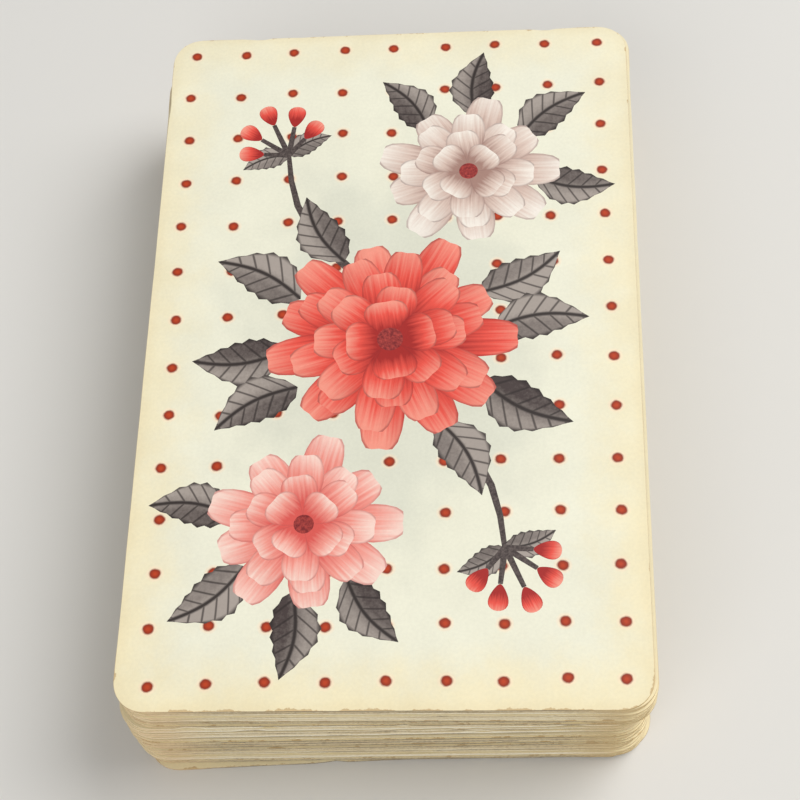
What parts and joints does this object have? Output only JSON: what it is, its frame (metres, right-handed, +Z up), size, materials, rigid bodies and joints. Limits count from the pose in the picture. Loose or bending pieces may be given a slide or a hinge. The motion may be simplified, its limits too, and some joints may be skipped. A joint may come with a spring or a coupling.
{
  "type": "miniature playing card deck",
  "caption": "Small pack of round-cornered paperboard playing cards, squared by hand and lying back up; each card swivels about a thumb point near one short edge to open a fan.",
  "frame": {"origin": "on the table under the middle of the bottom card, in the plane of that card's face", "axes": "+Z up out of the backs of the cards, +Y along the bottom card's long side away from the viewer, +X along its short side to the viewer's right"},
  "size_m": [0.0483, 0.0712, 0.0143],
  "materials": {
    "card_stock": "matt printed paperboard, yellowed towards worn edges"
  },
  "bodies": {
    "eight_of_hearts": {"eight_of_hearts": "card_stock"},
    "ten_of_clubs": {"ten_of_clubs": "card_stock"},
    "six_of_diamonds": {"six_of_diamonds": "card_stock"},
    "queen_of_hearts": {"queen_of_hearts": "card_stock"},
    "seven_of_clubs": {"seven_of_clubs": "card_stock"},
    "joker_2": {"joker_2": "card_stock"},
    "five_of_clubs": {"five_of_clubs": "card_stock"},
    "queen_of_clubs": {"queen_of_clubs": "card_stock"},
    "eight_of_diamonds": {"eight_of_diamonds": "card_stock"},
    "five_of_hearts": {"five_of_hearts": "card_stock"},
    "two_of_spades": {"two_of_spades": "card_stock"},
    "joker_1": {"joker_1": "card_stock"},
    "five_of_spades": {"five_of_spades": "card_stock"},
    "three_of_hearts": {"three_of_hearts": "card_stock"},
    "jack_of_clubs": {"jack_of_clubs": "card_stock"},
    "seven_of_diamonds": {"seven_of_diamonds": "card_stock"},
    "five_of_diamonds": {"five_of_diamonds": "card_stock"},
    "two_of_hearts": {"two_of_hearts": "card_stock"},
    "nine_of_spades": {"nine_of_spades": "card_stock"},
    "nine_of_diamonds": {"nine_of_diamonds": "card_stock"},
    "ace_of_hearts": {"ace_of_hearts": "card_stock"},
    "four_of_clubs": {"four_of_clubs": "card_stock"},
    "nine_of_hearts": {"nine_of_hearts": "card_stock"},
    "six_of_spades": {"six_of_spades": "card_stock"},
    "four_of_spades": {"four_of_spades": "card_stock"},
    "four_of_diamonds": {"four_of_diamonds": "card_stock"},
    "ten_of_spades": {"ten_of_spades": "card_stock"},
    "ten_of_diamonds": {"ten_of_diamonds": "card_stock"},
    "ace_of_clubs": {"ace_of_clubs": "card_stock"},
    "jack_of_hearts": {"jack_of_hearts": "card_stock"},
    "eight_of_clubs": {"eight_of_clubs": "card_stock"},
    "ten_of_hearts": {"ten_of_hearts": "card_stock"},
    "eight_of_spades": {"eight_of_spades": "card_stock"},
    "three_of_spades": {"three_of_spades": "card_stock"},
    "jack_of_spades": {"jack_of_spades": "card_stock"},
    "king_of_hearts": {"king_of_hearts": "card_stock"},
    "king_of_spades": {"king_of_spades": "card_stock"},
    "ace_of_spades": {"ace_of_spades": "card_stock"},
    "six_of_hearts": {"six_of_hearts": "card_stock"},
    "four_of_hearts": {"four_of_hearts": "card_stock"},
    "two_of_clubs": {"two_of_clubs": "card_stock"},
    "king_of_diamonds": {"king_of_diamonds": "card_stock"},
    "ace_of_diamonds": {"ace_of_diamonds": "card_stock"},
    "seven_of_hearts": {"seven_of_hearts": "card_stock"},
    "three_of_diamonds": {"three_of_diamonds": "card_stock"},
    "queen_of_spades": {"queen_of_spades": "card_stock"},
    "six_of_clubs": {"six_of_clubs": "card_stock"},
    "three_of_clubs": {"three_of_clubs": "card_stock"},
    "seven_of_spades": {"seven_of_spades": "card_stock"},
    "king_of_clubs": {"king_of_clubs": "card_stock"},
    "nine_of_clubs": {"nine_of_clubs": "card_stock"},
    "queen_of_diamonds": {"queen_of_diamonds": "card_stock"},
    "jack_of_diamonds": {"jack_of_diamonds": "card_stock"},
    "two_of_diamonds": {"two_of_diamonds": "card_stock"}
  },
  "joints": [
    {"name": "two_of_diamonds_turn", "type": "hinge", "parent": "eight_of_hearts", "child": "two_of_diamonds", "pos_m": [0, -0.0206, 0], "axis": [0, 0, 1], "range_deg": [-60.95, 60.95]},
    {"name": "jack_of_diamonds_turn", "type": "hinge", "parent": "eight_of_hearts", "child": "jack_of_diamonds", "pos_m": [0, -0.0206, 0], "axis": [0, 0, 1], "range_deg": [-59.8, 59.8]},
    {"name": "queen_of_diamonds_turn", "type": "hinge", "parent": "eight_of_hearts", "child": "queen_of_diamonds", "pos_m": [0, -0.0206, 0], "axis": [0, 0, 1], "range_deg": [-58.65, 58.65]},
    {"name": "nine_of_clubs_turn", "type": "hinge", "parent": "eight_of_hearts", "child": "nine_of_clubs", "pos_m": [0, -0.0206, 0], "axis": [0, 0, 1], "range_deg": [-57.5, 57.5]},
    {"name": "king_of_clubs_turn", "type": "hinge", "parent": "eight_of_hearts", "child": "king_of_clubs", "pos_m": [0, -0.0206, 0], "axis": [0, 0, 1], "range_deg": [-56.35, 56.35]},
    {"name": "seven_of_spades_turn", "type": "hinge", "parent": "eight_of_hearts", "child": "seven_of_spades", "pos_m": [0, -0.0206, 0], "axis": [0, 0, 1], "range_deg": [-55.2, 55.2]},
    {"name": "three_of_clubs_turn", "type": "hinge", "parent": "eight_of_hearts", "child": "three_of_clubs", "pos_m": [0, -0.0206, 0], "axis": [0, 0, 1], "range_deg": [-54.05, 54.05]},
    {"name": "six_of_clubs_turn", "type": "hinge", "parent": "eight_of_hearts", "child": "six_of_clubs", "pos_m": [0, -0.0206, 0], "axis": [0, 0, 1], "range_deg": [-52.9, 52.9]},
    {"name": "queen_of_spades_turn", "type": "hinge", "parent": "eight_of_hearts", "child": "queen_of_spades", "pos_m": [0, -0.0206, 0], "axis": [0, 0, 1], "range_deg": [-51.75, 51.75]},
    {"name": "three_of_diamonds_turn", "type": "hinge", "parent": "eight_of_hearts", "child": "three_of_diamonds", "pos_m": [0, -0.0206, 0], "axis": [0, 0, 1], "range_deg": [-50.6, 50.6]},
    {"name": "seven_of_hearts_turn", "type": "hinge", "parent": "eight_of_hearts", "child": "seven_of_hearts", "pos_m": [0, -0.0206, 0], "axis": [0, 0, 1], "range_deg": [-49.45, 49.45]},
    {"name": "ace_of_diamonds_turn", "type": "hinge", "parent": "eight_of_hearts", "child": "ace_of_diamonds", "pos_m": [0, -0.0206, 0], "axis": [0, 0, 1], "range_deg": [-48.3, 48.3]},
    {"name": "king_of_diamonds_turn", "type": "hinge", "parent": "eight_of_hearts", "child": "king_of_diamonds", "pos_m": [0, -0.0206, 0], "axis": [0, 0, 1], "range_deg": [-47.15, 47.15]},
    {"name": "two_of_clubs_turn", "type": "hinge", "parent": "eight_of_hearts", "child": "two_of_clubs", "pos_m": [0, -0.0206, 0], "axis": [0, 0, 1], "range_deg": [-46, 46]},
    {"name": "four_of_hearts_turn", "type": "hinge", "parent": "eight_of_hearts", "child": "four_of_hearts", "pos_m": [0, -0.0206, 0], "axis": [0, 0, 1], "range_deg": [-44.85, 44.85]},
    {"name": "six_of_hearts_turn", "type": "hinge", "parent": "eight_of_hearts", "child": "six_of_hearts", "pos_m": [0, -0.0206, 0], "axis": [0, 0, 1], "range_deg": [-43.7, 43.7]},
    {"name": "ace_of_spades_turn", "type": "hinge", "parent": "eight_of_hearts", "child": "ace_of_spades", "pos_m": [0, -0.0206, 0], "axis": [0, 0, 1], "range_deg": [-42.55, 42.55]},
    {"name": "king_of_spades_turn", "type": "hinge", "parent": "eight_of_hearts", "child": "king_of_spades", "pos_m": [0, -0.0206, 0], "axis": [0, 0, 1], "range_deg": [-41.4, 41.4]},
    {"name": "king_of_hearts_turn", "type": "hinge", "parent": "eight_of_hearts", "child": "king_of_hearts", "pos_m": [0, -0.0206, 0], "axis": [0, 0, 1], "range_deg": [-40.25, 40.25]},
    {"name": "jack_of_spades_turn", "type": "hinge", "parent": "eight_of_hearts", "child": "jack_of_spades", "pos_m": [0, -0.0206, 0], "axis": [0, 0, 1], "range_deg": [-39.1, 39.1]},
    {"name": "three_of_spades_turn", "type": "hinge", "parent": "eight_of_hearts", "child": "three_of_spades", "pos_m": [0, -0.0206, 0], "axis": [0, 0, 1], "range_deg": [-37.95, 37.95]},
    {"name": "eight_of_spades_turn", "type": "hinge", "parent": "eight_of_hearts", "child": "eight_of_spades", "pos_m": [0, -0.0206, 0], "axis": [0, 0, 1], "range_deg": [-36.8, 36.8]},
    {"name": "ten_of_hearts_turn", "type": "hinge", "parent": "eight_of_hearts", "child": "ten_of_hearts", "pos_m": [0, -0.0206, 0], "axis": [0, 0, 1], "range_deg": [-35.65, 35.65]},
    {"name": "eight_of_clubs_turn", "type": "hinge", "parent": "eight_of_hearts", "child": "eight_of_clubs", "pos_m": [0, -0.0206, 0], "axis": [0, 0, 1], "range_deg": [-34.5, 34.5]},
    {"name": "jack_of_hearts_turn", "type": "hinge", "parent": "eight_of_hearts", "child": "jack_of_hearts", "pos_m": [0, -0.0206, 0], "axis": [0, 0, 1], "range_deg": [-33.35, 33.35]},
    {"name": "ace_of_clubs_turn", "type": "hinge", "parent": "eight_of_hearts", "child": "ace_of_clubs", "pos_m": [0, -0.0206, 0], "axis": [0, 0, 1], "range_deg": [-32.2, 32.2]},
    {"name": "ten_of_diamonds_turn", "type": "hinge", "parent": "eight_of_hearts", "child": "ten_of_diamonds", "pos_m": [0, -0.0206, 0], "axis": [0, 0, 1], "range_deg": [-31.05, 31.05]},
    {"name": "ten_of_spades_turn", "type": "hinge", "parent": "eight_of_hearts", "child": "ten_of_spades", "pos_m": [0, -0.0206, 0], "axis": [0, 0, 1], "range_deg": [-29.9, 29.9]},
    {"name": "four_of_diamonds_turn", "type": "hinge", "parent": "eight_of_hearts", "child": "four_of_diamonds", "pos_m": [0, -0.0206, 0], "axis": [0, 0, 1], "range_deg": [-28.75, 28.75]},
    {"name": "four_of_spades_turn", "type": "hinge", "parent": "eight_of_hearts", "child": "four_of_spades", "pos_m": [0, -0.0206, 0], "axis": [0, 0, 1], "range_deg": [-27.6, 27.6]},
    {"name": "six_of_spades_turn", "type": "hinge", "parent": "eight_of_hearts", "child": "six_of_spades", "pos_m": [0, -0.0206, 0], "axis": [0, 0, 1], "range_deg": [-26.45, 26.45]},
    {"name": "nine_of_hearts_turn", "type": "hinge", "parent": "eight_of_hearts", "child": "nine_of_hearts", "pos_m": [0, -0.0206, 0], "axis": [0, 0, 1], "range_deg": [-25.3, 25.3]},
    {"name": "four_of_clubs_turn", "type": "hinge", "parent": "eight_of_hearts", "child": "four_of_clubs", "pos_m": [0, -0.0206, 0], "axis": [0, 0, 1], "range_deg": [-24.15, 24.15]},
    {"name": "ace_of_hearts_turn", "type": "hinge", "parent": "eight_of_hearts", "child": "ace_of_hearts", "pos_m": [0, -0.0206, 0], "axis": [0, 0, 1], "range_deg": [-23, 23]},
    {"name": "nine_of_diamonds_turn", "type": "hinge", "parent": "eight_of_hearts", "child": "nine_of_diamonds", "pos_m": [0, -0.0206, 0], "axis": [0, 0, 1], "range_deg": [-21.85, 21.85]},
    {"name": "nine_of_spades_turn", "type": "hinge", "parent": "eight_of_hearts", "child": "nine_of_spades", "pos_m": [0, -0.0206, 0], "axis": [0, 0, 1], "range_deg": [-20.7, 20.7]},
    {"name": "two_of_hearts_turn", "type": "hinge", "parent": "eight_of_hearts", "child": "two_of_hearts", "pos_m": [0, -0.0206, 0], "axis": [0, 0, 1], "range_deg": [-19.55, 19.55]},
    {"name": "five_of_diamonds_turn", "type": "hinge", "parent": "eight_of_hearts", "child": "five_of_diamonds", "pos_m": [0, -0.0206, 0], "axis": [0, 0, 1], "range_deg": [-18.4, 18.4]},
    {"name": "seven_of_diamonds_turn", "type": "hinge", "parent": "eight_of_hearts", "child": "seven_of_diamonds", "pos_m": [0, -0.0206, 0], "axis": [0, 0, 1], "range_deg": [-17.25, 17.25]},
    {"name": "jack_of_clubs_turn", "type": "hinge", "parent": "eight_of_hearts", "child": "jack_of_clubs", "pos_m": [0, -0.0206, 0], "axis": [0, 0, 1], "range_deg": [-16.1, 16.1]},
    {"name": "three_of_hearts_turn", "type": "hinge", "parent": "eight_of_hearts", "child": "three_of_hearts", "pos_m": [0, -0.0206, 0], "axis": [0, 0, 1], "range_deg": [-14.95, 14.95]},
    {"name": "five_of_spades_turn", "type": "hinge", "parent": "eight_of_hearts", "child": "five_of_spades", "pos_m": [0, -0.0206, 0], "axis": [0, 0, 1], "range_deg": [-13.8, 13.8]},
    {"name": "joker_1_turn", "type": "hinge", "parent": "eight_of_hearts", "child": "joker_1", "pos_m": [0, -0.0206, 0], "axis": [0, 0, 1], "range_deg": [-12.65, 12.65]},
    {"name": "two_of_spades_turn", "type": "hinge", "parent": "eight_of_hearts", "child": "two_of_spades", "pos_m": [0, -0.0206, 0], "axis": [0, 0, 1], "range_deg": [-11.5, 11.5]},
    {"name": "five_of_hearts_turn", "type": "hinge", "parent": "eight_of_hearts", "child": "five_of_hearts", "pos_m": [0, -0.0206, 0], "axis": [0, 0, 1], "range_deg": [-10.35, 10.35]},
    {"name": "eight_of_diamonds_turn", "type": "hinge", "parent": "eight_of_hearts", "child": "eight_of_diamonds", "pos_m": [0, -0.0206, 0], "axis": [0, 0, 1], "range_deg": [-9.2, 9.2]},
    {"name": "queen_of_clubs_turn", "type": "hinge", "parent": "eight_of_hearts", "child": "queen_of_clubs", "pos_m": [0, -0.0206, 0], "axis": [0, 0, 1], "range_deg": [-8.05, 8.05]},
    {"name": "five_of_clubs_turn", "type": "hinge", "parent": "eight_of_hearts", "child": "five_of_clubs", "pos_m": [0, -0.0206, 0], "axis": [0, 0, 1], "range_deg": [-6.9, 6.9]},
    {"name": "joker_2_turn", "type": "hinge", "parent": "eight_of_hearts", "child": "joker_2", "pos_m": [0, -0.0206, 0], "axis": [0, 0, 1], "range_deg": [-5.75, 5.75]},
    {"name": "seven_of_clubs_turn", "type": "hinge", "parent": "eight_of_hearts", "child": "seven_of_clubs", "pos_m": [0, -0.0206, 0], "axis": [0, 0, 1], "range_deg": [-4.6, 4.6]},
    {"name": "queen_of_hearts_turn", "type": "hinge", "parent": "eight_of_hearts", "child": "queen_of_hearts", "pos_m": [0, -0.0206, 0], "axis": [0, 0, 1], "range_deg": [-3.45, 3.45]},
    {"name": "six_of_diamonds_turn", "type": "hinge", "parent": "eight_of_hearts", "child": "six_of_diamonds", "pos_m": [0, -0.0206, 0], "axis": [0, 0, 1], "range_deg": [-2.3, 2.3]},
    {"name": "ten_of_clubs_turn", "type": "hinge", "parent": "eight_of_hearts", "child": "ten_of_clubs", "pos_m": [0, -0.0206, 0], "axis": [0, 0, 1], "range_deg": [-1.15, 1.15]}
  ]
}
